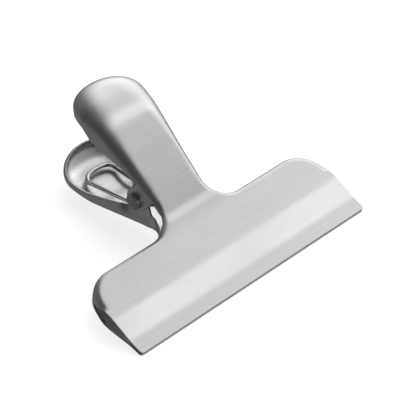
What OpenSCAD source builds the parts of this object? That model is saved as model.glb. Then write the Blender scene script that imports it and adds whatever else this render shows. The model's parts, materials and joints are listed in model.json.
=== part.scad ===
// Bag clip: two pressed steel jaws hinged on a riveted pin and closed by a double torsion spring.
// It lies on its lower jaw: X runs along the blades, Y from the mouth to the handles, +Z up.

/* [Blades] */
// Width of the clamping blades
blade_w = 76; // [70:1:82]
// Distance along the sheet from the mouth to the shoulders
blade_h = 22.8; // [22:0.1:23.6]
// Thickness of the steel sheet
sheet = 0.5; // [0.4:0.05:0.6]
// Gap between the closed lips
lip_gap = 0.2; // [0.1:0.1:0.4]
// Length of the flat lip, measured to the middle of its bend
lip_len = 3.9; // [3:0.1:5]
// Slope of the lip from the plane where the jaws meet
lip_angle = 3; // [1:1:5]
// How much steeper the next strip of the blade rises
slope_turn = 9; // [5:1:11]
// Distance from the mouth to the crease
crease_at = 11; // [10:0.5:12]
// How much flatter the blade is above the crease
crease_turn = 8; // [4:1:9]
// Radius of the two small corners at the mouth
tip_r = 0.8; // [0.6:0.1:2]
// Radius of the shoulder corners
corner_r = 8.1; // [7:0.1:8.5]
// Distance from the mouth to where the ends start to curl
curl_at = 13; // [12.6:0.1:13.4]

/* [Handles] */
// Angle of the handles from the plane where the jaws meet
handle_turn = 21; // [18:1:23]
// Half the width of the neck at its waist
waist_w = 7.7; // [7.6:0.1:8]
// Fillet between shoulder and neck
neck_fillet = 7; // [6:0.5:7.5]
// Distance along the sheet from the mouth to the middle of the round pad
pad_at = 59.5; // [58:0.5:62]
// Radius of the round pad
pad_r = 10.1; // [9.8:0.1:11]
// How far the pad's crown bends back towards the other handle
pad_turn = 54; // [40:1:56]
// Width of the rounded border of the pad
pad_inset = 7; // [5:0.1:7.2]
// Depth of the rounded border of the pad
pad_drop = 3.1; // [2.5:0.1:3.5]

/* [Hinge and spring] */
// Diameter of the hinge pin
pin_d = 3; // [2.8:0.1:3.2]
// Diameter of the pin's two heads
head_d = 4.5; // [4:0.1:4.8]
// Thickness of each head
head_h = 1.1; // [0.8:0.1:1.4]
// Distance along the closed jaws from the mouth to the pin
pin_y = 36.2; // [35.8:0.1:36.6]
// Radial clearance of the pin in the lower jaw
pin_play = 0.06; // [0.03:0.01:0.1]
// Diameter of the spring wire
wire_d = 1.2; // [1:0.1:1.3]
// Mean radius of the spring's coils
coil_r = 2.4; // [2.2:0.1:2.5]

/* [Hidden] */
STEEL = [0.78, 0.78, 0.79];
DULL = [0.45, 0.45, 0.46];
BRIGHT = [0.85, 0.82, 0.78];

// --- Side profile of a jaw: lengths along the outer face and the turn over each length ---
bend_len = 2;
neck_bend_at = 23.2;
neck_bend = 3.8;
pad_bend_at = pad_at - 9;
pad_top = pad_at + pad_r;
BENDS = [
    [lip_len - bend_len / 2, 0],
    [bend_len, slope_turn],
    [crease_at - lip_len - bend_len, 0],
    [bend_len, -crease_turn],
    [neck_bend_at - crease_at - bend_len / 2, 0],
    [neck_bend, handle_turn],
    [pad_bend_at - neck_bend_at - neck_bend, 0],
    [pad_top - pad_bend_at, -pad_turn],
];
neck_angle = lip_angle + slope_turn - crease_turn + handle_turn;

// A state is [length so far, height above the meeting plane, distance from the mouth, heading].
function ahead(s, run, turn) =
    turn == 0
    ? [s[0] + run, s[1] + run * sin(s[3]), s[2] + run * cos(s[3]), s[3]]
    : let (r = run * 180 / turn / PI)
      [s[0] + run,
       s[1] + r * (cos(s[3]) - cos(s[3] + turn)),
       s[2] + r * (sin(s[3] + turn) - sin(s[3])),
       s[3] + turn];
function state(i) =
    i == 0 ? [0, sheet + lip_gap / 2, 0, lip_angle]
           : ahead(state(i - 1), BENDS[i - 1][0], BENDS[i - 1][1]);
STATES = [for (i = [0:len(BENDS) - 1]) state(i)];
function side(l) =
    let (i = max([for (k = [0:len(BENDS) - 1]) if (k == 0 || STATES[k][0] <= l) k]),
         run = l - STATES[i][0])
    ahead(STATES[i], run, BENDS[i][1] * run / BENDS[i][0]);
// The point at x, at length l along the face and at depth d below it.
function place(x, l, d) =
    let (s = side(l))
    [x, s[2] + d * sin(s[3]), s[1] - d * cos(s[3])];

// --- Outline of a jaw: stations [x, l, inward x, inward l] up the right-hand side ---
half_w = blade_w / 2;
corner_l = blade_h - corner_r;
waist_l = blade_h + 8;
waist_d = norm([waist_w, waist_l - pad_at]);
pad_start = acos(pad_r / waist_d) - atan2(pad_at - waist_l, waist_w);
pad_touch = [pad_r * cos(pad_start), pad_at + pad_r * sin(pad_start)];
neck_in = [-cos(pad_start), -sin(pad_start)];
fillet_y = blade_h + neck_fillet;
fillet_x = pad_touch[0]
    - (neck_fillet + (fillet_y - pad_touch[1]) * neck_in[1]) / neck_in[0];
fillet_end = [fillet_x, fillet_y] + neck_fillet * neck_in;
fillet_stop = atan2(neck_in[1], neck_in[0]) + (neck_in[1] < 0 ? 360 : 0);
FILLET_START = 270;

END_L = concat(
    [for (q = [0:30:90]) tip_r * (1 - cos(q))],
    [for (m = [lip_len, crease_at], k = [-1:1]) m + k * bend_len / 2],
    [for (k = [0:2]) curl_at * (2 - k) / 2 + corner_l * k / 2]);
CORNER_STEPS = 12;
SHOULDER_STEPS = 6;
FILLET_STEPS = 9;
NECK_STEPS = 12;
PAD_STEPS = 14;
END = [for (l = END_L)
    [half_w - tip_r + sqrt(pow(tip_r, 2) - pow(max(tip_r - l, 0), 2)), l, -1, 0]];
CORNER = [for (k = [1:CORNER_STEPS]) let (a = 90 * k / CORNER_STEPS)
    [half_w - corner_r + corner_r * cos(a), corner_l + corner_r * sin(a), -cos(a), -sin(a)]];
SHOULDER = [for (k = [1:SHOULDER_STEPS]) let (f = k / SHOULDER_STEPS)
    [(half_w - corner_r) * (1 - f) + fillet_x * f, blade_h, 0, -1]];
FILLET = [for (k = [1:FILLET_STEPS])
    let (a = FILLET_START + (fillet_stop - FILLET_START) * k / FILLET_STEPS)
    [fillet_x + neck_fillet * cos(a), fillet_y + neck_fillet * sin(a), cos(a), sin(a)]];
NECK = [for (k = [1:NECK_STEPS]) let (p = fillet_end + (pad_touch - fillet_end) * k / NECK_STEPS)
    [p[0], p[1], neck_in[0], neck_in[1]]];
PAD = [for (k = [1:PAD_STEPS]) let (a = pad_start + (90 - pad_start) * k / PAD_STEPS)
    [k == PAD_STEPS ? 0 : pad_r * cos(a), pad_at + pad_r * sin(a), k == PAD_STEPS ? 0 : -cos(a), -sin(a)]];
A_ROWS = len(END) + CORNER_STEPS;
B_START = A_ROWS + SHOULDER_STEPS;
STATIONS = concat(END, CORNER, SHOULDER, FILLET, NECK, PAD);
LAST = len(STATIONS) - 1;

// --- Rolled border: [inset, drop, how far it is rolled, depth of its free edge below the face] ---
rim_r = 1.8;
rim_depth = 2.2;
curl_run = 5;
RIM_INSET = [[blade_h, rim_r], [28, 1.5], [31, 1.6], [40, 2.4], [48, 3.6], [pad_at, pad_inset]];
RIM_DROP = [[blade_h, rim_r], [25, 1.4], [31, 1.4], [38, 2.3], [50, 2.7], [pad_at, pad_drop]];
UPPER_DEPTH = [[blade_h, rim_depth], [24.2, 1.5], [25.4, 0.8], [27.6, 0.8], [28.9, 1.3], [30, 1.9],
               [36, 2.3], [39, 2.6], [44, 4.4], [51, 6.8], [53, 7.2], [56, 6.4], [59.5, 5], [65, 4.5],
               [pad_top, 4.5]];
LOWER_DEPTH = [[blade_h, rim_depth], [24.2, 3.4], [25.5, 4.2], [27, 3.8], [28.5, 3.7], [33, 4], [36, 4],
               [38.5, 5.3], [43, 5], [48, 4.6], [56, 4.4], [pad_top, 4.4]];
function eased(f) = f * f * (3 - 2 * f);
function rim(i, depths) =
    let (l = STATIONS[i][1])
    i < B_START
    ? [rim_r, rim_r, i < A_ROWS ? eased(min(max((l - curl_at) / curl_run, 0), 1)) : 1, rim_depth]
    : [lookup(l, RIM_INSET), lookup(l, RIM_DROP), 1, lookup(l, depths)];

// Point k of the border's section: 0 on the face, ARC at the end of its bend, EDGE at its free edge.
// A border shallower than its drop ends within the bend.
ARC = 5;
EDGE = ARC + 1;
function unit(v) = v / norm(v);
function section(r, k, in) =
    let (deep = r[3] > r[1],
         a = deep ? 90 * min(k, ARC) / ARC : acos(1 - r[3] / r[1]) * k / EDGE,
         flat = [r[0] * (1 - k / EDGE), 0],
         bent = [r[0] * (1 - sin(a)), deep && k == EDGE ? r[3] : r[1] * (1 - cos(a))],
         inward = unit([sin(a) / r[0], cos(a) / r[1]]))
    flat * (1 - r[2]) + bent * r[2] + in * sheet * unit([0, 1 - r[2]] + inward * r[2]);
function border(i, k, in, depths) =
    let (s = STATIONS[i], p = section(rim(i, depths), k, in))
    place(s[0] + s[2] * p[0], s[1] + s[3] * p[0], p[1]);

// --- Skin of a jaw: rows across the blade and handle, then the border strips ---
B_COLS = 2;
A_COLS = B_COLS + SHOULDER_STEPS;
shoulder_x = half_w - corner_r;
ROW_X = concat([for (j = [0:B_COLS]) fillet_x * j / B_COLS],
               [for (k = [SHOULDER_STEPS - 1:-1:0]) k == 0 ? shoulder_x : SHOULDER[k - 1][0]]);
function sgn(j) = j < 0 ? -1 : 1;
function row_end(i) =
    let (s = STATIONS[i], r = rim(i, UPPER_DEPTH))
    [s[0] + s[2] * r[0], s[1] + s[3] * r[0]];
A_SIZE = 2 * A_COLS + 1;
B_SIZE = 2 * B_COLS + 1;
B_ROWS = LAST - B_START;
function skin(in, depths) = concat(
    [for (a = [0:A_ROWS - 1], j = [-A_COLS:A_COLS]) let (e = row_end(a))
        place(sgn(j) * e[0] * ROW_X[abs(j)] / shoulder_x, e[1], in * sheet)],
    [for (b = [0:B_ROWS - 1], j = [-B_COLS:B_COLS]) let (e = row_end(B_START + b))
        place(e[0] * j / B_COLS, e[1], in * sheet)],
    [place(0, row_end(LAST)[1], in * sheet)],
    [for (m = [1, -1], i = [0:LAST], k = [1:EDGE]) let (p = border(i, k, in, depths))
        [m * p[0], p[1], p[2]]]);
BORDER_AT = A_ROWS * A_SIZE + B_ROWS * B_SIZE + 1;
SKIN_SIZE = BORDER_AT + 2 * len(STATIONS) * EDGE;
function a_at(a, j) = a * A_SIZE + A_COLS + j;
function b_at(b, j) =
    b < 0 ? a_at(A_ROWS - 1, j)
          : (b >= B_ROWS ? BORDER_AT - 1 : A_ROWS * A_SIZE + b * B_SIZE + B_COLS + j);
// Index of border point k at station i on side m; 0 is the row end, and the sides share the top one.
function at(m, i, k) =
    k == 0
    ? (i < A_ROWS ? a_at(i, m * A_COLS)
       : (i < B_START ? a_at(A_ROWS - 1, m * (A_COLS - 1 - i + A_ROWS)) : b_at(i - B_START, m * B_COLS)))
    : BORDER_AT + (m < 0 && i < LAST ? len(STATIONS) * EDGE : 0) + i * EDGE + k - 1;
function quad(a, b, c, d) = concat(a == b || b == c || a == c ? [] : [[a, b, c]],
                                   a == c || c == d || a == d ? [] : [[a, c, d]]);
function join(lists) = [for (l = lists, e = l) e];
FACES = concat(
    join([for (a = [0:A_ROWS - 2], j = [-A_COLS:A_COLS - 1])
        quad(a_at(a, j), a_at(a + 1, j), a_at(a + 1, j + 1), a_at(a, j + 1))]),
    join([for (b = [-1:B_ROWS - 1], j = [-B_COLS:B_COLS - 1])
        quad(b_at(b, j), b_at(b + 1, j), b_at(b + 1, j + 1), b_at(b, j + 1))]),
    join([for (i = [0:LAST - 1], k = [0:ARC])
        quad(at(1, i, k), at(1, i + 1, k), at(1, i + 1, k + 1), at(1, i, k + 1))]),
    join([for (i = [0:LAST - 1], k = [0:ARC])
        quad(at(-1, i, k), at(-1, i, k + 1), at(-1, i + 1, k + 1), at(-1, i + 1, k))]));
// The cut edge of the sheet runs along the mouth, then up the border and down the other side.
CUT = concat([for (k = [EDGE:-1:1]) at(-1, 0, k)],
             [for (j = [-A_COLS:A_COLS]) a_at(0, j)],
             [for (k = [1:EDGE]) at(1, 0, k)],
             [for (i = [1:LAST]) at(1, i, EDGE)],
             [for (i = [LAST - 1:-1:1]) at(-1, i, EDGE)]);
function inside(f) = [f[2] + SKIN_SIZE, f[1] + SKIN_SIZE, f[0] + SKIN_SIZE];
JAW_FACES = concat(FACES, [for (f = FACES) inside(f)],
    join([for (n = [0:len(CUT) - 1]) let (p = CUT[n], q = CUT[(n + 1) % len(CUT)])
        quad(p, q, q + SKIN_SIZE, p + SKIN_SIZE)]));
function jaw_points(depths) = concat(skin(0, depths), skin(1, depths));

// --- Ears: plates in the plane of the neck, with u along the handle and v out to its face ---
ear_r = 3.1;
ear_neck = 3.4;
ear_root = 4.7;
EAR_TOP = [5.2, 5.8, 6];
broad_reach = 1.2;
ear_gap = 0.1;
outer_ear = 7.9;
inner_ear = outer_ear - sheet - ear_gap;
JOGGLE = [3.2, 4.3];
neck_face = side(waist_l);
face_v = neck_face[1] * cos(neck_angle) + (pin_y - neck_face[2]) * sin(neck_angle);

// The narrow ear: straight sides down to a round end, flared where it leaves the border.
module narrow_ear() {
    circle(r = ear_r, $fn = 64);
    polygon([
        [-ear_r, 0],
        [ear_r, 0],
        [ear_r, ear_neck],
        [ear_root, EAR_TOP[0]],
        [ear_root, EAR_TOP[2]],
        [-ear_root, EAR_TOP[2] + 0.8],
        [-ear_root, EAR_TOP[1]],
        [-ear_r, ear_neck],
    ]);
}
// The broad ear reaches further towards the blade, and ends in two rounds.
module broad_ear() {
    circle(r = ear_r, $fn = 64);
    translate([-broad_reach, 0]) circle(r = ear_r, $fn = 64);
    translate([-broad_reach, -ear_r]) square([broad_reach, 2 * ear_r]);
    translate([-broad_reach - ear_r, 0]) square([broad_reach + 2 * ear_r, face_v - JOGGLE[0]]);
}
module pin_frame() translate([0, pin_y, 0]) rotate([neck_angle, 0, 0]) children();
module across(x0, width) translate([x0, 0, 0]) rotate([90, 0, 90]) linear_extrude(width) children();
module bore(r) {
    translate([-blade_w, pin_y, 0]) rotate([0, 90, 0]) cylinder(r = r, h = 2 * blade_w, $fn = 64);
}
module plain_ear() across(outer_ear - sheet, sheet) narrow_ear();
module joggled_ear() {
    intersection() {
        across(inner_ear - 2 * sheet, 4 * sheet) broad_ear();
        translate([0, 2 * ear_r, 0]) rotate([90, 0, 0]) linear_extrude(4 * ear_r) polygon([
            [inner_ear - sheet, -ear_r - 1],
            [inner_ear, -ear_r - 1],
            [inner_ear, face_v - JOGGLE[1]],
            [outer_ear, face_v - JOGGLE[0]],
            [outer_ear - sheet, face_v - JOGGLE[0]],
            [inner_ear - sheet, face_v - JOGGLE[1]],
        ]);
    }
}
module both_sides() {
    children();
    mirror([1, 0, 0]) children();
}

// --- Spring: half of the wire, from the middle of its loop to the end of one tail ---
loop_l = 60.8;
loop_half = 4.5;
loop_corner = 2.4;
loop_bow = 10;
loop_turn = asin((loop_half - loop_corner) / (loop_bow - loop_corner));
loop_from = loop_l - loop_bow + (loop_bow - loop_corner) * cos(loop_turn);
leg_l = 43.5;
tail_l = 51;
coil_x = 3.1;
coil_pitch = 1.27;
coil_turns = 2;
floor_d = sheet + wire_d / 2 + 0.8;
function on_floor(x, l, m) = let (p = place(x, l, floor_d)) [p[0], p[1], m * p[2]];
leg_foot = on_floor(0, leg_l, -1);
leg_reach = norm([leg_foot[1] - pin_y, leg_foot[2]]);
coil_from = atan2(leg_foot[2], leg_foot[1] - pin_y) - acos(coil_r / leg_reach);
coil_sweep = 360 * (coil_turns + 1) + 2 * coil_from;
COIL_STEPS = 28;
TURN_STEPS = 4;
LEG_STEPS = 5;
coil_end_x = coil_x + coil_pitch * coil_sweep / 360;
WIRE = concat(
    [for (k = [1:2]) let (a = loop_turn * k / 2)
        on_floor(loop_bow * sin(a), loop_l - loop_bow * (1 - cos(a)), -1)],
    [for (k = [1:TURN_STEPS]) let (a = loop_turn + (90 - loop_turn) * k / TURN_STEPS)
        on_floor(loop_half - loop_corner * (1 - sin(a)), loop_from + loop_corner * cos(a), -1)],
    [for (k = [1:LEG_STEPS]) let (f = k / LEG_STEPS)
        on_floor(loop_half, loop_from, -1) * (1 - f) + on_floor(coil_x + 0.3, leg_l, -1) * f],
    [for (k = [0:COIL_STEPS]) let (a = coil_from - coil_sweep * k / COIL_STEPS)
        [coil_x + (coil_end_x - coil_x) * k / COIL_STEPS, pin_y + coil_r * cos(a), coil_r * sin(a)]],
    [for (k = [0:2]) on_floor(coil_end_x - 0.4 * k, leg_l + (tail_l - leg_l) * k / 2, 1)]);
ROUTE = concat([for (k = [len(WIRE) - 1:-1:0]) [-WIRE[k][0], WIRE[k][1], WIRE[k][2]]],
               [on_floor(0, loop_l, -1)], WIRE);
WIRE_SIDES = 10;
function heading(i) = unit(ROUTE[min(i + 1, len(ROUTE) - 1)] - ROUTE[max(i - 1, 0)]);
function turned(v, t) = unit(v - (v * t) * t);
RINGS = [for (i = 0, n = turned([0, 0, 1], heading(0)); i < len(ROUTE);
              i = i + 1, n = turned(n, heading(min(i, len(ROUTE) - 1)))) n];
module wire_tube() {
    n = len(ROUTE);
    points = [for (i = [0:n - 1], k = [0:WIRE_SIDES - 1])
        let (a = 360 * k / WIRE_SIDES, b = cross(heading(i), RINGS[i]))
        ROUTE[i] + wire_d / 2 * (RINGS[i] * cos(a) + b * sin(a))];
    walls = join([for (i = [0:n - 2], k = [0:WIRE_SIDES - 1])
        let (p = i * WIRE_SIDES + k, q = i * WIRE_SIDES + (k + 1) % WIRE_SIDES)
        quad(p, p + WIRE_SIDES, q + WIRE_SIDES, q)]);
    polyhedron(points, concat(walls,
        [[for (k = [0:WIRE_SIDES - 1]) k]],
        [[for (k = [WIRE_SIDES - 1:-1:0]) (n - 1) * WIRE_SIDES + k]]));
}

// --- Pose on the table: the lower jaw rests on its lip and on its pad ---
REST = [for (l = [pad_bend_at:0.25:pad_at]) side(l)];
table_angle = max([for (s = REST) atan2(s[1] - STATES[0][1], s[2])]);
function turn_x(p, a) = [p[0], p[1] * cos(a) - p[2] * sin(a), p[1] * sin(a) + p[2] * cos(a)];
POSED = concat([for (p = jaw_points(UPPER_DEPTH)) turn_x(p, table_angle)],
               [for (p = jaw_points(LOWER_DEPTH)) turn_x([p[0], p[1], -p[2]], table_angle)]);
span_y = [min([for (p = POSED) p[1]]), max([for (p = POSED) p[1]])];
low_z = min([for (p = POSED) p[2]]);
module on_table() {
    translate([0, -(span_y[0] + span_y[1]) / 2, -low_z]) rotate([table_angle, 0, 0]) children();
}

module upper_jaw() {
    color(STEEL) on_table() difference() {
        union() {
            polyhedron(jaw_points(UPPER_DEPTH), JAW_FACES);
            both_sides() pin_frame() plain_ear();
        }
        bore(pin_d / 2);
    }
}
module lower_jaw() {
    color(STEEL) on_table() mirror([0, 0, 1]) difference() {
        union() {
            polyhedron(jaw_points(LOWER_DEPTH), JAW_FACES);
            both_sides() pin_frame() joggled_ear();
        }
        bore(pin_d / 2 + pin_play);
    }
}
module hinge_pin() {
    soft = 0.35;
    color(DULL) on_table() translate([0, pin_y, 0]) rotate([0, 90, 0]) {
        cylinder(d = pin_d, h = 2 * outer_ear, center = true, $fn = 64);
        for (m = [0, 1]) mirror([0, 0, m]) translate([0, 0, outer_ear]) rotate_extrude($fn = 64) {
            square([head_d / 2 - soft, head_h]);
            square([head_d / 2, head_h - soft]);
            translate([head_d / 2 - soft, head_h - soft]) circle(r = soft, $fn = 32);
        }
    }
}
module torsion_spring() {
    color(BRIGHT) on_table() wire_tube();
}

lower_jaw();
upper_jaw();
hinge_pin();
torsion_spring();
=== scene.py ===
"""Looks of the bag clip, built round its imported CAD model. Lengths are millimetres until place() turns
them into the row frame's metres. A jaw is described by l, the length along its face from the mouth;
x, across the blade; and depth, how far a point lies below the face. The shape's numbers follow the CAD's."""

import json
import math

import bpy
import numpy as np
from mathutils import Matrix, Vector


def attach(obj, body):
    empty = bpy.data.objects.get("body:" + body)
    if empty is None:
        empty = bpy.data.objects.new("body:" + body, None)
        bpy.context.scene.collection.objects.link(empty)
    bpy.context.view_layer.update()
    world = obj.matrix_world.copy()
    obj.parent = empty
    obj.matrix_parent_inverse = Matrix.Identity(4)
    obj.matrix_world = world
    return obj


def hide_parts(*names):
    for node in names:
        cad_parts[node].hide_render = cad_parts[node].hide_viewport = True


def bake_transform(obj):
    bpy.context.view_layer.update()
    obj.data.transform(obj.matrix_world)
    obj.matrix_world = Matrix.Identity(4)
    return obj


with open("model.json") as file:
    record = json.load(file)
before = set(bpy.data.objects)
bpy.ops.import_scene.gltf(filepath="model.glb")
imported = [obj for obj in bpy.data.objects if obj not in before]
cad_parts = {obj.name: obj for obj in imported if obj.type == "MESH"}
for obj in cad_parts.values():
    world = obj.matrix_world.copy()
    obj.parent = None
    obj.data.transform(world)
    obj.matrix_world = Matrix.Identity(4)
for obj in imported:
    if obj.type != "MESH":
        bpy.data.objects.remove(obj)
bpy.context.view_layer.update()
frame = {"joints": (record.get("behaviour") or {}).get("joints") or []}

MM = 0.001

# --- Sheet and side profile -------------------------------------------------------------------------
SHEET = 0.5
LIP_GAP = 0.2  # between the closed jaws
LIP_ANGLE = 3  # from the closing plane, in degrees
LIP_LEN = 3.9
BEND_LEN = 2  # of each bend beside the bright band
CREASE_AT = 11
NECK_BEND_AT = 23.2
NECK_BEND = 3.8
PAD_AT = 59.5  # l of the round pad's centre
PAD_R = 10.1
PAD_BEND_AT = PAD_AT - 9
PAD_TOP = PAD_AT + PAD_R
BENDS = (  # length and turn in degrees of each part of the profile, from the mouth
    (LIP_LEN - BEND_LEN / 2, 0),
    (BEND_LEN, 9),
    (CREASE_AT - LIP_LEN - BEND_LEN, 0),
    (BEND_LEN, -8),
    (NECK_BEND_AT - CREASE_AT - BEND_LEN / 2, 0),
    (NECK_BEND, 21),
    (PAD_BEND_AT - NECK_BEND_AT - NECK_BEND, 0),
    (PAD_TOP - PAD_BEND_AT, -54),
)
PROFILE_STEPS = 1409

# --- Outline ----------------------------------------------------------------------------------------
HALF_W = 38
BLADE_H = 22.8  # l of the shoulders
CORNER_R = 8.1
SHOULDER_X = HALF_W - CORNER_R
CORNER_L = BLADE_H - CORNER_R
TIP_R = 0.8
WAIST = (7.7, BLADE_H + 8)  # (x, l) of a point on the neck's straight side
NECK_FILLET = 7
CURL_AT, CURL_RUN = 13, 5  # l where the rim begins to roll over, and the length it takes
RIM_R, RIM_DEPTH = 1.8, 2.2

# How far in from the outline the rim's bend begins, how deep the bend is, and the depth of the free edge,
# each as (l, value) points.
RIM_INSET = ((BLADE_H, RIM_R), (28, 1.5), (31, 1.6), (40, 2.4), (48, 3.6), (PAD_AT, 7))
RIM_DROP = ((BLADE_H, RIM_R), (25, 1.4), (31, 1.4), (38, 2.3), (50, 2.7), (PAD_AT, 3.1))
DEPTH = {
    "upper": (
        (BLADE_H, RIM_DEPTH), (24.2, 1.5), (25.4, 0.75), (27.6, 0.75), (28.9, 1.3), (30, 1.9), (36, 2.3),
        (39, 2.6), (44, 4.4), (50.7, 6.8), (53, 7.2), (56, 6.4), (PAD_AT, 5), (65, 4.5), (PAD_TOP, 4.5),
    ),
    "lower": (
        (BLADE_H, RIM_DEPTH), (24.2, 3.4), (25.5, 4.2), (27, 3.8), (28.5, 3.7), (38.5, 5.3), (43, 5),
        (48, 4.6), (56, 4.4), (PAD_TOP, 4.4),
    ),
}

# --- Hinge and spring -------------------------------------------------------------------------------
PIN_Y = 36.2  # distance from the mouth
PIN_R = 1.5
HEAD_R = 2.25
HEAD_H = 1.1
HEAD_CROWN = 0.06  # how far the face is domed
HEAD_ROUND, ROUND_SHARE = 0.35, 0.83  # width of the round at the rim, and its height as a share of that
HEAD_CHAMFER = 0.05  # where the head meets the ear
SHANK_STEP = 0.02  # from the shank out to the head's underside
HEAD_STEPS, PIN_SIDES = 8, 96

EAR_R = 3.1
EAR_GAP = 0.1
OUTER_EAR = 7.9  # x of the ears' outer faces
INNER_EAR = OUTER_EAR - SHEET - EAR_GAP
BROAD = 1.2  # how much further forward the lower ear reaches
EAR_FROM, EAR_TO = 25.5, 39.6  # l of the stretch of free edge that runs round the ear
EAR_ROUND = EAR_R * 0.999  # a hair less than EAR_R, so that the ear's two arcs do not meet in one point

# The border swings to the ear's x between two values of l and back between two others, and does so fully
# only below the second of two depths.
SWING_TO, SWING_BACK = (26.5, 28.6), (37.4, 40.5)
EAR_X = {"upper": OUTER_EAR, "lower": INNER_EAR}
SWING_DEPTH = {"upper": (1.6, 4.2), "lower": (2.4, 4.4)}

WIRE_R = 0.6
COIL_R = 2.4
COIL_X, COIL_PITCH, COIL_TURNS = 3.1, 1.27, 2  # x where a coil begins, its pitch, and its whole turns
LOOP_L, LOOP_HALF = 60.8, 4.5  # l of the loop's end, and half its width
LOOP_CORNER, LOOP_BOW = 2.4, 10  # radii of its corners and of its end
LEG_L, TAIL_L = 43.5, 51  # l where the wire leaves the handle for the coil, and of the tail's end
LEG_OUT = 0.3  # the leg's foot stands this much outside the coil's first turn
TAIL_IN = 0.8  # the tail leans in by this much
WIRE_CLEAR = 0.8  # between the wire and the sheet
FLOOR_D = SHEET + WIRE_R + WIRE_CLEAR  # depth of the wire's centre line in the handles
BOW_STEPS, LOOP_CORNER_STEPS, LEG_STEPS, COIL_STEPS, TAIL_STEPS = 8, 10, 16, 120, 12
WIRE_SIDES = 20
WIRE_STEP = 0.22  # between rings
WIRE_PASSES = 6  # of smoothing along the route
WIRE_END = 0.25  # length of the softened end
WIRE_END_ANGLES = (0.5, 1.0, math.pi / 2)  # of its rings, round its quarter of an ellipse

# --- Mesh -------------------------------------------------------------------------------------------
TIP_STEPS = 7
FLAT_FROM, FLAT_STEP, CURL_STEP = 1.5, 0.4, 0.22  # stations at the blade's end, before and in the curl
CORNER_STEPS, SHOULDER_STEPS = 28, 18
FILLET_STEPS, EAR_STEPS, NECK_STEPS, PAD_STEPS = 34, 44, 30, 40
ROUNDED_STEPS = 13  # points of each arc in the ear's outline
NECK_COLS = 8  # in half the neck's width
STRIP_ROWS = 12  # from the face to the free edge
WELD_DIGITS = 4
TINY = 1e-6
EDGE_R, EDGE_STEPS = 0.11, 3  # of the rounded cut edge
OUTSIDE, INSIDE, CUT = 0, 1, 2  # material slots of the sheet
UV_MM = 100  # one unit of the brush map


def on_map(mm):
    """An x or l as a coordinate of the brush map, where 0.5 is the middle of the mouth."""
    return mm / UV_MM + 0.5


def smooth(a, b, x):
    """0 up to a, 1 from b on, and an S-curve between."""
    t = np.clip((np.asarray(x, float) - a) / (b - a), 0, 1)
    return t * t * (3 - 2 * t)


# --- Side profile: (length, height, distance from the mouth, heading) at each change of bend --------
def ahead(state, run, turn):
    """The state after one more run, straight or along an arc."""
    l, h, y, phi = state
    if turn == 0:
        return l + run, h + run * math.sin(phi), y + run * math.cos(phi), phi
    r = run / turn
    return (
        l + run,
        h + r * (math.cos(phi) - math.cos(phi + turn)),
        y + r * (math.sin(phi + turn) - math.sin(phi)),
        phi + turn,
    )


states = [(0.0, SHEET + LIP_GAP / 2, 0.0, math.radians(LIP_ANGLE))]
for run, turn in BENDS:
    states.append(ahead(states[-1], run, math.radians(turn)))


def side(l):
    """Height, distance from the mouth and heading of the face at length l."""
    k = max(i for i in range(len(BENDS)) if i == 0 or states[i][0] <= l)
    run = l - states[k][0]
    return ahead(states[k], run, math.radians(BENDS[k][1]) * run / BENDS[k][0])[1:]


PROFILE_L = np.linspace(0, PAD_TOP, PROFILE_STEPS)
PROFILE = np.array([side(l) for l in PROFILE_L])


def on_jaw(x, l, depth):
    """Points of the upper jaw, closed: (x, distance from the mouth, height above the closing plane)."""
    h, y, phi = (np.interp(l, PROFILE_L, PROFILE[:, k]) for k in range(3))
    return np.stack([x + 0 * h, y + depth * np.sin(phi), h - depth * np.cos(phi)], -1)


# --- The clip lies on the lower jaw's lip and pad ---------------------------------------------------
rest = PROFILE[(PROFILE_L >= PAD_BEND_AT) & (PROFILE_L <= PAD_AT)]
TABLE_ANGLE = max(math.atan2(h - states[0][1], y) for h, y, _ in rest)
hinge = frame["joints"][0]["pos_m"]
TURN = np.array(Matrix.Rotation(TABLE_ANGLE, 3, "X"))
PIN = np.array([0, PIN_Y, 0])


def place(points):
    """Points of the closed clip in the row frame, in metres."""
    return (np.asarray(points, float) - PIN) @ TURN.T * MM + np.array(hinge)


# --- Outline stations of the right-hand side: x, l, inward x, inward l ------------------------------
waist_d = math.hypot(WAIST[0], WAIST[1] - PAD_AT)
pad_start = math.atan2(WAIST[1] - PAD_AT, WAIST[0]) + math.acos(PAD_R / waist_d)
pad_touch = np.array([PAD_R * math.cos(pad_start), PAD_AT + PAD_R * math.sin(pad_start)])
neck_in = np.array([-math.cos(pad_start), -math.sin(pad_start)])
fillet_y = BLADE_H + NECK_FILLET
fillet_x = pad_touch[0] - (NECK_FILLET + (fillet_y - pad_touch[1]) * neck_in[1]) / neck_in[0]
fillet_end = np.array([fillet_x, fillet_y]) + NECK_FILLET * neck_in
fillet_stop = math.atan2(neck_in[1], neck_in[0]) % math.tau
split_at = fillet_end + (pad_touch - fillet_end) * (EAR_TO - fillet_end[1]) / (pad_touch[1] - fillet_end[1])


def arc(cx, cy, r, a0, a1, n, inward):
    """n stations along an arc, leaving out its first point; inward is -1 on a convex one."""
    a = a0 + (a1 - a0) * np.arange(1, n + 1) / n
    c, s = np.cos(a), np.sin(a)
    return np.stack([cx + r * c, cy + r * s, inward * c, inward * s], -1)


def line(p, q, n, inward):
    """n stations along a straight, leaving out its first point."""
    t = np.arange(1, n + 1)[:, None] / n
    return np.hstack([np.array(p) * (1 - t) + np.array(q) * t, np.tile(inward, (n, 1))])


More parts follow.
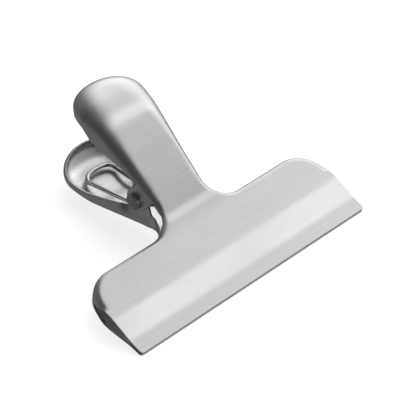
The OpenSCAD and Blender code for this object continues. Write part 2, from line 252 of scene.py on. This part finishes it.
def end_stations():
    """The blade's end from the mouth to its corner, closer together where the rim rolls over."""
    tip = TIP_R * (1 - np.cos(np.linspace(0, math.pi / 2, TIP_STEPS)))
    flat = np.arange(FLAT_FROM, CURL_AT - FLAT_STEP / 4, FLAT_STEP)
    l = np.concatenate([tip, flat, np.arange(CURL_AT, CORNER_L, CURL_STEP), [CORNER_L]])
    x = HALF_W - TIP_R + np.sqrt(TIP_R**2 - np.maximum(TIP_R - l, 0) ** 2)
    return np.stack([x, l, -1 + 0 * l, 0 * l], -1)


ends = end_stations()
BLADE_ROWS = len(ends) + CORNER_STEPS
NECK_START = BLADE_ROWS + SHOULDER_STEPS
stations = np.vstack([
    ends,
    arc(SHOULDER_X, CORNER_L, CORNER_R, 0, math.pi / 2, CORNER_STEPS, -1),
    line((SHOULDER_X, BLADE_H), (fillet_x, BLADE_H), SHOULDER_STEPS, (0, -1)),
    arc(fillet_x, fillet_y, NECK_FILLET, 1.5 * math.pi, fillet_stop, FILLET_STEPS, 1),
    line(fillet_end, split_at, EAR_STEPS, neck_in),
    line(split_at, pad_touch, NECK_STEPS, neck_in),
    arc(0, PAD_AT, PAD_R, pad_start, math.pi / 2, PAD_STEPS, -1),
])
stations[-1, [0, 2]] = 0  # the last one is on the jaw's middle line
O, N = stations[:, :2], stations[:, 2:]  # the outline, and the direction inward from it


def lookup(table, l):
    """A smooth curve through the table's points (monotone cubic, flat outside it)."""
    xs, ys = np.array(table, float).T
    d = np.diff(ys) / np.diff(xs)
    m = np.zeros(len(xs))
    same = d[:-1] * d[1:] > 0
    m[1:-1][same] = 2 * d[:-1][same] * d[1:][same] / (d[:-1] + d[1:])[same]
    l = np.clip(l, xs[0], xs[-1])
    k = np.clip(np.searchsorted(xs, l, "right") - 1, 0, len(xs) - 2)
    w = xs[k + 1] - xs[k]
    t = (l - xs[k]) / w
    return (
        ys[k] * (1 + 2 * t) * (1 - t) ** 2
        + m[k] * w * t * (1 - t) ** 2
        + ys[k + 1] * t * t * (3 - 2 * t)
        + m[k + 1] * w * t * t * (t - 1)
    )


def rounded(points, radii):
    """A polyline whose inner corners are arcs of the given radii, as dense points."""
    out = [np.array(points[0], float)]
    for p, c, q, r in zip(points, points[1:], points[2:], radii):
        p, c, q = (np.array(v, float) for v in (p, c, q))
        u, v = (p - c) / np.linalg.norm(p - c), (q - c) / np.linalg.norm(q - c)
        half = math.acos(np.clip(u @ v, -1, 1)) / 2
        cut = r / math.tan(half)
        centre = c + (u + v) / np.linalg.norm(u + v) * r / math.sin(half)
        start, stop = c + u * cut - centre, c + v * cut - centre
        sweep = math.pi - 2 * half
        for t in np.linspace(0, 1, ROUNDED_STEPS):
            a = np.sin((1 - t) * sweep) * start + np.sin(t * sweep) * stop
            out.append(centre + a / math.sin(sweep))
    out.append(np.array(points[-1], float))
    return np.array(out)


neck_h, neck_y, NECK_ANGLE = side(WAIST[1])
EAR_L = WAIST[1] + (PIN_Y - neck_y) * math.cos(NECK_ANGLE) - neck_h * math.sin(NECK_ANGLE)
EAR_D = (PIN_Y - neck_y) * math.sin(NECK_ANGLE) + neck_h * math.cos(NECK_ANGLE)


def ear_path(jaw):
    """The free edge round the ear, as (l, depth) points from EAR_FROM to EAR_TO. The ear's sides rise to the
    depths front and back, and the edge leads up to the front one by way of one more point, before."""
    start, stop = ((l, lookup(DEPTH[jaw], l)) for l in (EAR_FROM, EAR_TO))
    left, right, bottom = EAR_L - EAR_R, EAR_L + EAR_R, EAR_D + EAR_R
    if jaw == "upper":
        before, front, back, radii = (27.6, 0.7), 2.3, 2.4, (2, 0.9, EAR_ROUND, EAR_ROUND, 0.9)
    else:
        left -= BROAD
        before, front, back, radii = (28.2, 3.9), 4.6, 4.8, (4, 1, EAR_ROUND, EAR_ROUND, 0.8)
    corners = [before, (left, front), (left, bottom), (right, bottom), (right, back)]
    return rounded([start, *corners, stop], radii)


def free_edge(jaw):
    """(l, depth) of the border's free edge at each station from NECK_START on."""
    l = O[NECK_START:, 1]
    edge = np.stack([l, lookup(DEPTH[jaw], l)], -1)
    path = ear_path(jaw)
    run = np.r_[0, np.cumsum(np.linalg.norm(np.diff(path, axis=0), axis=1))]
    inside = (l >= EAR_FROM) & (l <= EAR_TO)
    share = np.linspace(0, run[-1], inside.sum())
    edge[inside] = np.stack([np.interp(share, run, path[:, k]) for k in range(2)], -1)
    return edge


def border(jaw, pull):
    """Points [station, row] of the border, from the face to its free edge less pull; their flat (x, l)
    positions; and the flat line where the border begins."""
    n = len(stations)
    # The bend's inset ri and drop rh, the free edge's depth, and the share of the roll, at each station.
    ri, rh, depth, rolled = (np.full(n, v, float) for v in (RIM_R, RIM_R, RIM_DEPTH, 1))
    rolled[:BLADE_ROWS] = smooth(CURL_AT, CURL_AT + CURL_RUN, O[:BLADE_ROWS, 1])
    l = O[NECK_START:, 1]
    ri[NECK_START:], rh[NECK_START:] = lookup(RIM_INSET, l), lookup(RIM_DROP, l)
    edge = free_edge(jaw)
    depth[NECK_START:] = edge[:, 1]
    shift = np.zeros(n)
    shift[NECK_START:] = edge[:, 0] - l
    # The sheet turns down through the angle stop, over the length bent, and runs straight for flange.
    stop = np.arccos(np.clip(1 - depth / rh, 0, 1))
    bent = stop * (ri + rh) / 2
    flange = np.maximum(depth - rh, 0)
    s = np.linspace(0, 1, STRIP_ROWS + 1)[None, :]
    run = s * (bent + flange - pull)[:, None]
    a = np.minimum(run / bent[:, None], 1) * stop[:, None]
    past = np.maximum(run - bent[:, None], 0)
    inset = ri[:, None] * (1 - np.sin(a))
    drop = rh[:, None] * (1 - np.cos(a)) + past
    f = rolled[:, None]
    inset = inset * f + (ri - (ri - pull) * s.T).T * (1 - f)
    drop = drop * f
    moved = shift[:, None] * np.clip(past / np.maximum(flange, TINY)[:, None], 0, 1)
    at_l = O[:, 1:2] + moved
    ox, oy, nx, ny = (np.broadcast_to(v[:, None], at_l.shape).copy() for v in stations.T)
    near = shift != 0  # here, round the ear, the border leans along the neck
    neck = stations[NECK_START:]
    for target, column in ((ox, 0), (nx, 2), (ny, 3)):
        target[near] = np.interp(at_l[near], neck[:, 1], neck[:, column])
    oy[near] = at_l[near]
    x, ll = ox + nx * inset, oy + ny * inset
    reach = smooth(*SWING_TO, ll) * (1 - smooth(*SWING_BACK, ll)) * smooth(*SWING_DEPTH[jaw], drop)
    reach[:NECK_START] = 0
    x = x + (EAR_X[jaw] - x) * reach
    flat = np.stack([O[:, 0:1] + N[:, 0:1] * inset, ll], -1)
    return on_jaw(x, ll, drop), flat, O + N * ri[:, None]


def skin(jaw):
    """Vertices, quads and flat (x, l) positions of a jaw's outer face, unwelded, and how many of the
    vertices, the first ones, are inside the border."""
    strip, flat, ring = border(jaw, EDGE_R)
    verts, quads, places = [], [], []

    def add(points, uv, flip):
        """A grid of points, its quads turned round if flip is set."""
        base = sum(len(p) for p in verts)
        n, m = points.shape[:2]
        verts.append(points.reshape(-1, 3))
        places.append(uv.reshape(-1, 2))
        i, j = np.meshgrid(np.arange(n - 1), np.arange(m - 1), indexing="ij")
        a = base + (i * m + j).ravel()
        quad = np.stack([a, a + 1, a + m + 1, a + m], -1)
        quads.append(quad[:, ::-1] if flip else quad)

    def add_rows(rows, shares):
        """Rows across the face, each a station's (x, l), cut at the given shares of its x."""
        x = rows[:, 0:1] * shares[None, :]
        l = rows[:, 1:2] + 0 * x
        add(on_jaw(x, l, 0 * x), np.stack([x, l], -1), False)

    shoulder_x = ring[BLADE_ROWS:NECK_START, 0]
    blade_x = np.r_[np.linspace(0, fillet_x, NECK_COLS + 1), shoulder_x[::-1][1:], SHOULDER_X]
    add_rows(ring[:BLADE_ROWS], np.r_[-blade_x[:0:-1], blade_x] / SHOULDER_X)
    across = np.linspace(-1, 1, 2 * NECK_COLS + 1)
    neck = np.vstack([[fillet_x, ring[BLADE_ROWS - 1, 1]], ring[NECK_START:-1]])
    add_rows(neck, across)
    add_rows(np.array([neck[-1], [0, ring[-1, 1]]]), across)
    inside = sum(len(p) for p in verts)
    add(strip, flat, False)
    mirror = np.array([-1, 1, 1])
    add(strip * mirror, flat * mirror[:2], True)
    return np.vstack(verts), np.vstack(quads), np.vstack(places), inside


def weld(verts, quads, places, inside):
    """Joins vertices in the same spot and drops faces that collapse; returns also which vertices lie
    inside the border."""
    key = np.round(verts, WELD_DIGITS) + 0.0  # which makes -0.0 the same as 0.0
    _, first, back = np.unique(key, axis=0, return_index=True, return_inverse=True)
    faces = []
    for quad in back.ravel()[quads]:
        face = [v for k, v in enumerate(quad) if v != quad[k - 1]]
        if len(set(face)) == len(face) >= 3:
            faces.append(face)
    return verts[first], faces, places[first], first < inside


def vertex_normals(verts, faces):
    """Normals weighted by the faces' areas."""
    total = np.zeros_like(verts)
    for face in faces:
        p = verts[face]
        n = np.cross(p[1] - p[0], p[2] - p[0])
        if len(face) == 4:
            n = n + np.cross(p[2] - p[0], p[3] - p[0])
        total[face] += n
    return total / np.maximum(np.linalg.norm(total, axis=1, keepdims=True), 1e-12)


def boundary_loop(faces):
    """The open edge's vertices in order, the way the faces run."""
    following = {}
    edges = {(f[k - 1], f[k]) for f in faces for k in range(len(f))}
    for a, b in edges:
        if (b, a) not in edges:
            following[a] = b
    start = min(following)
    loop = [start]
    while following[loop[-1]] != start:
        loop.append(following[loop[-1]])
    if len(loop) != len(following):
        raise RuntimeError(f"the sheet has {len(following)} open edges, and its outline {len(loop)}")
    return np.array(loop)


def sheet_mesh(jaw):
    """The whole sheet: outer face, inner face and the rounded cut edge between them, with each face's
    material slot and each vertex's flat position."""
    verts, faces, places, inside = weld(*skin(jaw))
    normals = vertex_normals(verts, faces)
    phi = np.interp(places[inside, 1], PROFILE_L, PROFILE[:, 2])  # here the profile gives them exactly
    normals[inside] = np.stack([0 * phi, -np.sin(phi), np.cos(phi)], -1)
    n = len(verts)
    loop = boundary_loop(faces)
    inner = verts - SHEET * normals
    p = verts[loop]
    along = np.roll(p, -1, 0) - np.roll(p, 1, 0)
    out = np.cross(along, normals[loop])
    out /= np.linalg.norm(out, axis=1, keepdims=True)
    quarter = [math.pi / 2 * k / EDGE_STEPS for k in range(1, EDGE_STEPS + 1)]
    bend = [(a, EDGE_R * (1 - math.cos(a))) for a in quarter]
    bend += [(a, SHEET - drop) for a, drop in bend[::-1]]
    rows = [p + out * EDGE_R * math.sin(a) - normals[loop] * drop for a, drop in bend]
    all_verts = np.vstack([verts, inner] + rows)
    uv = np.vstack([places, places] + [places[loop]] * len(rows))
    all_faces = [list(f) for f in faces] + [[v + n for v in f[::-1]] for f in faces]
    kinds = [OUTSIDE] * len(faces) + [INSIDE] * len(faces)
    rings = [loop] + [2 * n + k * len(loop) + np.arange(len(loop)) for k in range(len(rows))] + [loop + n]
    for a, b in zip(rings, rings[1:]):
        for i in range(len(loop)):
            j = (i + 1) % len(loop)
            all_faces.append([a[j], a[i], b[i], b[j]])
            kinds.append(CUT)
    return all_verts, all_faces, kinds, uv


def new_object(name, verts, faces):
    mesh = bpy.data.meshes.new(name)
    mesh.from_pydata([tuple(v) for v in verts], [], [tuple(int(i) for i in f) for f in faces])
    mesh.polygons.foreach_set("use_smooth", [True] * len(mesh.polygons))
    mesh.update()
    obj = bpy.data.objects.new(name, mesh)
    bpy.context.scene.collection.objects.link(obj)
    return obj


def build_jaw(name, jaw, materials):
    """The lower jaw is the upper one's mirror image in the closing plane, but for its border."""
    verts, faces, kinds, uv = sheet_mesh(jaw)
    if jaw == "lower":
        verts = verts * np.array([1, 1, -1])
        faces = [f[::-1] for f in faces]
    obj = new_object(name, place(verts), faces)
    mesh = obj.data
    for m in materials:
        mesh.materials.append(m)
    mesh.polygons.foreach_set("material_index", kinds)
    layer = mesh.uv_layers.new(name="brush")
    corner = np.zeros(len(mesh.loops), np.int32)
    mesh.loops.foreach_get("vertex_index", corner)
    layer.data.foreach_set("uv", on_map(uv[corner]).astype(np.float32).ravel())
    return obj


# --- Materials --------------------------------------------------------------------------------------
class Nodes:
    """A short way to write a node tree."""

    def __init__(self, name):
        self.material = bpy.data.materials.new(name)
        self.material.use_nodes = True
        self.tree = self.material.node_tree
        self.shader = self.tree.nodes["Principled BSDF"]

    def add(self, kind, inputs=(), **settings):
        node = self.tree.nodes.new(kind)
        for key, value in settings.items():
            setattr(node, key, value)
        for key, value in dict(inputs).items():
            self.put(node.inputs[key], value)
        return node

    def put(self, socket, value):
        if isinstance(value, bpy.types.NodeSocket):
            self.tree.links.new(value, socket)
        else:
            socket.default_value = value

    def noise(self, stretch, scale, detail=2, rough=0.5):
        """Noise in object space, in cells of 1/scale mm, stretched by the three numbers."""
        where = self.add("ShaderNodeTexCoord").outputs["Object"]
        mapped = self.add("ShaderNodeMapping", {"Vector": where, "Scale": [1000 * s for s in stretch]})
        texture = self.add(
            "ShaderNodeTexNoise",
            {"Vector": mapped.outputs["Vector"], "Scale": scale, "Detail": detail, "Roughness": rough},
        )
        return texture.outputs["Fac"]

    def ramp(self, value, low, high, out_low, out_high):
        node = self.add(
            "ShaderNodeMapRange",
            {"Value": value, "From Min": low, "From Max": high, "To Min": out_low, "To Max": out_high},
        )
        return node.outputs["Result"]

    def math(self, kind, a, b):
        return self.add("ShaderNodeMath", {0: a, 1: b}, operation=kind).outputs[0]

    def grey(self, value, dark, light):
        """A colour between two; the node's sockets are picked by number, as its names repeat."""
        node = self.add("ShaderNodeMix", data_type="RGBA")
        self.put(node.inputs["Factor"], value)
        self.put(node.inputs[6], (*dark, 1))
        self.put(node.inputs[7], (*light, 1))
        return node.outputs[2]

    def bump(self, height, distance):
        node = self.add("ShaderNodeBump", {"Height": height, "Distance": distance, "Strength": 1.0})
        self.put(self.shader.inputs["Normal"], node.outputs["Normal"])

    def set(self, **values):
        """Inputs of the main shader, with _ for the spaces in their names."""
        for key, value in values.items():
            self.put(self.shader.inputs[key.replace("_", " ")], value)


def dulled(m):
    """1 where the press has drawn the neck's bend duller, 0 elsewhere."""
    flat = m.add("ShaderNodeUVMap", uv_map="brush").outputs["UV"]
    l = m.add("ShaderNodeSeparateXYZ", {"Vector": flat}).outputs["Y"]
    ends_at = NECK_BEND_AT + NECK_BEND
    begins = m.ramp(l, on_map(NECK_BEND_AT - 3), on_map(NECK_BEND_AT + 0.5), 0, 1)
    ends = m.ramp(l, on_map(ends_at - 1.5), on_map(ends_at + 1), 1, 0)
    return m.math("MULTIPLY", begins, ends)


def brushed_steel():
    """Sheet brushed along the mouth, with long fine scratches and a soft uneven satin."""
    m = Nodes("brushed_sheet")
    fine = m.noise((0.05, 1, 1), 9, 3, 0.6)
    coarse = m.noise((0.03, 1, 1), 2.2, 2, 0.55)
    cloud = m.noise((0.5, 1, 1), 0.12, 2, 0.5)
    streak = m.math("ADD", m.math("MULTIPLY", fine, 0.6), m.math("MULTIPLY", coarse, 0.4))
    satin = m.math("ADD", m.ramp(streak, 0.3, 0.7, 0.30, 0.38), m.ramp(cloud, 0.3, 0.7, -0.03, 0.03))
    bend = dulled(m)
    m.set(
        Metallic=1.0,
        Base_Color=m.grey(m.ramp(streak, 0.35, 0.65, 0, 1), (0.70, 0.70, 0.71), (0.80, 0.80, 0.81)),
        Roughness=m.math("ADD", satin, m.ramp(bend, 0, 1, 0, 0.08)),
        Anisotropic=m.ramp(bend, 0, 1, 0.55, 0.68),
    )
    tangent = m.add("ShaderNodeTangent", direction_type="UV_MAP", uv_map="brush")
    m.put(m.shader.inputs["Tangent"], tangent.outputs["Tangent"])
    m.bump(streak, 0.000012)
    return m.material


def polished_steel():
    """The sheet's unbrushed inner side: mill-bright, with a faint rolling grain."""
    m = Nodes("mill_bright_sheet")
    grain = m.noise((0.08, 1, 1), 3, 2, 0.5)
    cloud = m.noise((1, 1, 1), 0.15, 2, 0.5)
    m.set(
        Metallic=1.0,
        Base_Color=m.grey(m.ramp(grain, 0.35, 0.65, 0, 1), (0.66, 0.66, 0.67), (0.74, 0.74, 0.75)),
        Roughness=m.ramp(cloud, 0.3, 0.7, 0.27, 0.3),
    )
    m.bump(grain, 0.000006)
    return m.material


def grained_steel(name, scale, detail, spread, dark, light, rough, relief):
    """Steel with an even grain. Its colour goes from dark to light as the noise goes from spread below its
    middle to spread above; rough is its least and greatest roughness, and relief the grain's height in
    metres."""
    m = Nodes(name)
    grain = m.noise((1, 1, 1), scale, detail, 0.6)
    m.set(
        Metallic=1.0,
        Base_Color=m.grey(m.ramp(grain, 0.5 - spread, 0.5 + spread, 0, 1), dark, light),
        Roughness=m.ramp(grain, 0.3, 0.7, *rough),
    )
    m.bump(grain, relief)
    return m.material


def cut_steel():
    """The sheared edge of the sheet, darker and rougher than its faces."""
    return grained_steel(
        "sheared_edge",
        scale=6,
        detail=2,
        spread=0.2,
        dark=(0.52, 0.53, 0.55),
        light=(0.68, 0.69, 0.71),
        rough=(0.3, 0.45),
        relief=0.00001,
    )


def pin_steel():
    """The rivet, darker than the sheet."""
    return grained_steel(
        "pin_steel",
        scale=4,
        detail=3,
        spread=0.2,
        dark=(0.36, 0.35, 0.35),
        light=(0.52, 0.51, 0.50),
        rough=(0.24, 0.36),
        relief=0.00001,
    )


def spring_steel():
    """Drawn wire, smoother and a little warmer than the sheet."""
    return grained_steel(
        "spring_wire",
        scale=2.5,
        detail=3,
        spread=0.15,
        dark=(0.66, 0.63, 0.58),
        light=(0.80, 0.77, 0.72),
        rough=(0.1, 0.2),
        relief=0.000004,
    )


# --- Jaws -------------------------------------------------------------------------------------------
sheet_materials = [brushed_steel(), polished_steel(), cut_steel()]  # outside, inside, cut
for jaw in ("upper", "lower"):
    piece = build_jaw(f"{jaw}_jaw_sheet", jaw, sheet_materials)
    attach(piece, jaw)
    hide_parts(f"{jaw}_jaw")


# --- Hinge pin --------------------------------------------------------------------------------------
def lathe(name, outline, steps):
    """A closed solid turned about the X axis through the hinge; outline is (x, radius) from axis to axis."""
    ring = [(x, r) for x, r in outline if r > 0]
    a = np.linspace(0, math.tau, steps, endpoint=False)
    verts = [(x, r * math.cos(t), r * math.sin(t)) for x, r in ring for t in a]
    faces = []
    for i in range(len(ring) - 1):
        for k in range(steps):
            j = (k + 1) % steps
            faces.append((i * steps + k, i * steps + j, (i + 1) * steps + j, (i + 1) * steps + k))
    for end, (x, _) in ((0, outline[0]), (len(ring) - 1, outline[-1])):
        verts.append((x, 0, 0))
        for k in range(steps):
            j = (k + 1) % steps
            pair = (end * steps + j, end * steps + k) if end == 0 else (end * steps + k, end * steps + j)
            faces.append((len(verts) - 1, *pair))
    return new_object(name, place(np.array(verts) + PIN), faces)


def pin_outline():
    """One head after the other, each with a rounded rim and a faintly crowned face."""
    half = []
    face = OUTER_EAR + HEAD_H
    flat = HEAD_R - HEAD_ROUND
    for k in range(HEAD_STEPS + 1):
        r = flat * k / HEAD_STEPS
        half.append((face - HEAD_CROWN * (r / flat) ** 2, r))
    for k in range(1, HEAD_STEPS + 1):
        a = math.pi / 2 * k / HEAD_STEPS
        down = HEAD_ROUND * (1 - math.cos(a)) * ROUND_SHARE
        half.append((face - HEAD_CROWN - down, flat + HEAD_ROUND * math.sin(a)))
    half += [
        (OUTER_EAR + HEAD_CHAMFER, HEAD_R),
        (OUTER_EAR, HEAD_R - HEAD_CHAMFER),
        (OUTER_EAR, PIN_R + SHANK_STEP),
        (OUTER_EAR - SHANK_STEP, PIN_R),
    ]
    return [(-x, r) for x, r in half] + half[::-1]


pin = lathe("pin", pin_outline(), PIN_SIDES)
pin.data.materials.append(pin_steel())
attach(pin, "upper")
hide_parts("hinge_pin")


# --- Spring -----------------------------------------------------------------------------------------
def on_floor(x, l, m):
    """A point of the wire in a handle: the upper one if m is 1, the lower one if it is -1."""
    return on_jaw(np.float64(x), l, FLOOR_D) * np.array([1, 1, m])


def wire_route():
    """The wire's centre line: one half from the loop's middle to the tail, and its mirror image before it."""
    foot = on_floor(0, LEG_L, -1)
    reach = math.hypot(foot[1] - PIN_Y, foot[2])
    start = math.atan2(foot[2], foot[1] - PIN_Y) - math.acos(COIL_R / reach)
    sweep = math.tau * (COIL_TURNS + 1) + 2 * start
    end_x = COIL_X + COIL_PITCH * sweep / math.tau
    turn = math.asin((LOOP_HALF - LOOP_CORNER) / (LOOP_BOW - LOOP_CORNER))
    corner_l = LOOP_L - LOOP_BOW + (LOOP_BOW - LOOP_CORNER) * math.cos(turn)
    half = []
    for k in range(1, BOW_STEPS + 1):
        a = turn * k / BOW_STEPS
        half.append(on_floor(LOOP_BOW * math.sin(a), LOOP_L - LOOP_BOW * (1 - math.cos(a)), -1))
    for k in range(1, LOOP_CORNER_STEPS + 1):
        a = turn + (math.pi / 2 - turn) * k / LOOP_CORNER_STEPS
        x = LOOP_HALF - LOOP_CORNER * (1 - math.sin(a))
        half.append(on_floor(x, corner_l + LOOP_CORNER * math.cos(a), -1))
    leg_top, leg_foot = on_floor(LOOP_HALF, corner_l, -1), on_floor(COIL_X + LEG_OUT, LEG_L, -1)
    for k in range(1, LEG_STEPS + 1):
        f = k / LEG_STEPS
        half.append(leg_top * (1 - f) + leg_foot * f)
    for k in range(COIL_STEPS + 1):
        a = start - sweep * k / COIL_STEPS
        x = COIL_X + (end_x - COIL_X) * k / COIL_STEPS
        half.append(np.array([x, PIN_Y + COIL_R * math.cos(a), COIL_R * math.sin(a)]))
    for k in range(TAIL_STEPS + 1):
        f = k / TAIL_STEPS
        half.append(on_floor(end_x - TAIL_IN * f, LEG_L + (TAIL_L - LEG_L) * f, 1))
    half = np.array(half)
    return np.vstack([half[::-1] * np.array([-1, 1, 1]), [on_floor(0, LOOP_L, -1)], half])


def smoothed(route):
    """The route in even steps, with its corners eased."""
    run = np.r_[0, np.cumsum(np.linalg.norm(np.diff(route, axis=0), axis=1))]
    at = np.arange(0, run[-1], WIRE_STEP)
    centre = np.stack([np.interp(at, run, route[:, k]) for k in range(3)], -1)
    for _ in range(WIRE_PASSES):
        centre[1:-1] = (centre[:-2] + 2 * centre[1:-1] + centre[2:]) / 4
    return centre


def tube(name, route, radius, sides, soften):
    """A round wire along the route, whose two ends are softened over the given length."""
    centre = smoothed(route)
    headings = np.gradient(centre, axis=0)
    headings /= np.linalg.norm(headings, axis=1, keepdims=True)
    round_it = np.linspace(0, math.tau, sides, endpoint=False)
    normal = np.cross(headings[0], [0, 0, 1])
    rings = []
    for c, t in zip(centre, headings):
        normal = normal - (normal @ t) * t
        normal /= np.linalg.norm(normal)
        other = np.cross(t, normal)
        rings.append([c + radius * (normal * math.cos(a) + other * math.sin(a)) for a in round_it])
    caps = []
    for end, t in ((0, -headings[0]), (-1, headings[-1])):
        c, ring = centre[end], np.array(rings[end])
        caps.append([
            c + t * soften * math.sin(a) + (ring - c) * (1 - soften / radius * (1 - math.cos(a)))
            for a in WIRE_END_ANGLES
        ])
    rings = caps[0][::-1] + rings + caps[1]
    verts = np.array(rings).reshape(-1, 3)
    faces = []
    for i in range(len(rings) - 1):
        for k in range(sides):
            j = (k + 1) % sides
            faces.append((i * sides + k, (i + 1) * sides + k, (i + 1) * sides + j, i * sides + j))
    faces.append(list(range(sides)))
    faces.append([(len(rings) - 1) * sides + k for k in reversed(range(sides))])
    return new_object(name, place(verts), faces)


spring = tube("spring_wire", wire_route(), WIRE_R, WIRE_SIDES, WIRE_END)
spring.data.materials.append(spring_steel())
pivot = Vector(hinge)
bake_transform(spring)
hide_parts("torsion_spring")


# --- Floor, light and camera ------------------------------------------------------------------------
def floor_material():
    """Pale and a little self-lit, so that it stays white in the room's dim light."""
    m = Nodes("pale_floor")
    grain = m.noise((1, 1, 1), 0.02, 2, 0.5)
    m.set(
        Base_Color=m.grey(grain, (0.93, 0.93, 0.93), (0.95, 0.95, 0.95)),
        Roughness=0.9,
        Emission_Color=(1, 1, 1, 1),
        Emission_Strength=0.75,
    )
    return m.material


HALF_FLOOR = 3.0  # metres
floor_corners = [(sx * HALF_FLOOR, sy * HALF_FLOOR, 0) for sx, sy in ((-1, -1), (1, -1), (1, 1), (-1, 1))]
floor = new_object("floor", floor_corners, [(0, 1, 2, 3)])
floor.data.materials.append(floor_material())
floor.visible_glossy = False

world = bpy.data.worlds.new("studio")
bpy.context.scene.world = world
world.use_nodes = True

# The room as the steel sees it. Each term is a direction; the two values of the dot product with it over
# which the term changes; and its values before and after. The factors are multiplied, the glow is added.
SKY_FACTORS = (
    ((0.95, -0.3, 0), -0.02, 0.31, 0.04, 0.525),  # dark on the left, bright on the right
    ((0, 1, 0), -0.7, 0.9, 0.7, 2.5),  # brighter towards the back
    ((0, 1, 0), 0.4, 0.85, 1, 1.25),  # and once more far back
    ((1, 0, 0), 0.52, 0.9, 1, 1.6),  # brighter at the far right
    ((0.75, 0.35, -0.56), 0.55, 0.8, 1, 0.12),  # a dark patch low on the right
    ((-0.52, 0.59, -0.62), 0.75, 0.98, 1, 1.6),  # a lighter one low at the back, on the left
    ((0, -0.6, -0.8), 0.3, 0.9, 1, 1.8),  # and one low in front
)
SKY_GLOW = ((-0.42, -0.9, -0.1), 0.72, 0.97, 0, 0.5)  # in front, on the left


def studio_sky():
    """Makes the world's brightness of the terms above."""
    tree = world.node_tree
    direction = tree.nodes.new("ShaderNodeTexCoord").outputs["Generated"]

    def side_of(vector, low, high, out_low, out_high):
        dot = tree.nodes.new("ShaderNodeVectorMath")
        dot.operation = "DOT_PRODUCT"
        tree.links.new(direction, dot.inputs[0])
        dot.inputs[1].default_value = vector
        ease = tree.nodes.new("ShaderNodeMapRange")
        ease.interpolation_type = "SMOOTHSTEP"
        for key, value in (("From Min", low), ("From Max", high), ("To Min", out_low), ("To Max", out_high)):
            ease.inputs[key].default_value = value
        tree.links.new(dot.outputs["Value"], ease.inputs["Value"])
        return ease.outputs["Result"]

    def combine(operation, a, b):
        node = tree.nodes.new("ShaderNodeMath")
        node.operation = operation
        tree.links.new(a, node.inputs[0])
        tree.links.new(b, node.inputs[1])
        return node.outputs[0]

    total = side_of(*SKY_FACTORS[0])
    for factor in SKY_FACTORS[1:]:
        total = combine("MULTIPLY", total, side_of(*factor))
    total = combine("ADD", total, side_of(*SKY_GLOW))
    tree.nodes["Background"].inputs["Color"].default_value = (1, 1, 1, 1)
    tree.links.new(total, tree.nodes["Background"].inputs["Strength"])


studio_sky()
world.cycles.sampling_method = "NONE"


def soft_light(name, azimuth, elevation, distance, size, power):
    """A softbox aimed at the hinge, its long side level with the mouth; azimuth 0 is in front, 90 right."""
    a, e = math.radians(azimuth), math.radians(elevation)
    back = Vector((math.sin(a) * math.cos(e), -math.cos(a) * math.cos(e), math.sin(e)))
    long_side = (Vector((1, 0, 0)) - back * back.x).normalized()
    data = bpy.data.lights.new(name, "AREA")
    data.shape = "RECTANGLE"
    data.size, data.size_y = size
    data.energy = power
    light = bpy.data.objects.new(name, data)
    light.location = pivot + back * distance
    light.rotation_euler = Matrix((long_side, back.cross(long_side), back)).transposed().to_euler()
    bpy.context.scene.collection.objects.link(light)


soft_light("strip", azimuth=60, elevation=52, distance=0.9, size=(1.2, 0.3), power=0.8)

CAMERA_FROM_PIN = Vector((-0.27898, -0.33323, 0.34076))  # metres
CAMERA_AZIMUTH, CAMERA_ELEVATION, CAMERA_ROLL = 41.285, 38.515, -3.18  # degrees
LENS, SENSOR = 198, 36  # millimetres
CLIP_NEAR, CLIP_FAR = 0.01, 20  # metres

camera = bpy.data.objects.new("camera", bpy.data.cameras.new("camera"))
bpy.context.scene.collection.objects.link(camera)
azimuth, elevation = math.radians(CAMERA_AZIMUTH), math.radians(CAMERA_ELEVATION)
level_part = math.cos(elevation)
looking = Vector((math.sin(azimuth) * level_part, math.cos(azimuth) * level_part, -math.sin(elevation)))
level = looking.to_track_quat("-Z", "Y").to_matrix()
camera.location = pivot + CAMERA_FROM_PIN
camera.rotation_euler = (level @ Matrix.Rotation(math.radians(CAMERA_ROLL), 3, "Z")).to_euler()
camera.data.lens = LENS
camera.data.sensor_width = SENSOR
camera.data.clip_start, camera.data.clip_end = CLIP_NEAR, CLIP_FAR
bpy.context.scene.camera = camera

bpy.context.scene.view_settings.view_transform = "Standard"

bpy.context.view_layer.update()
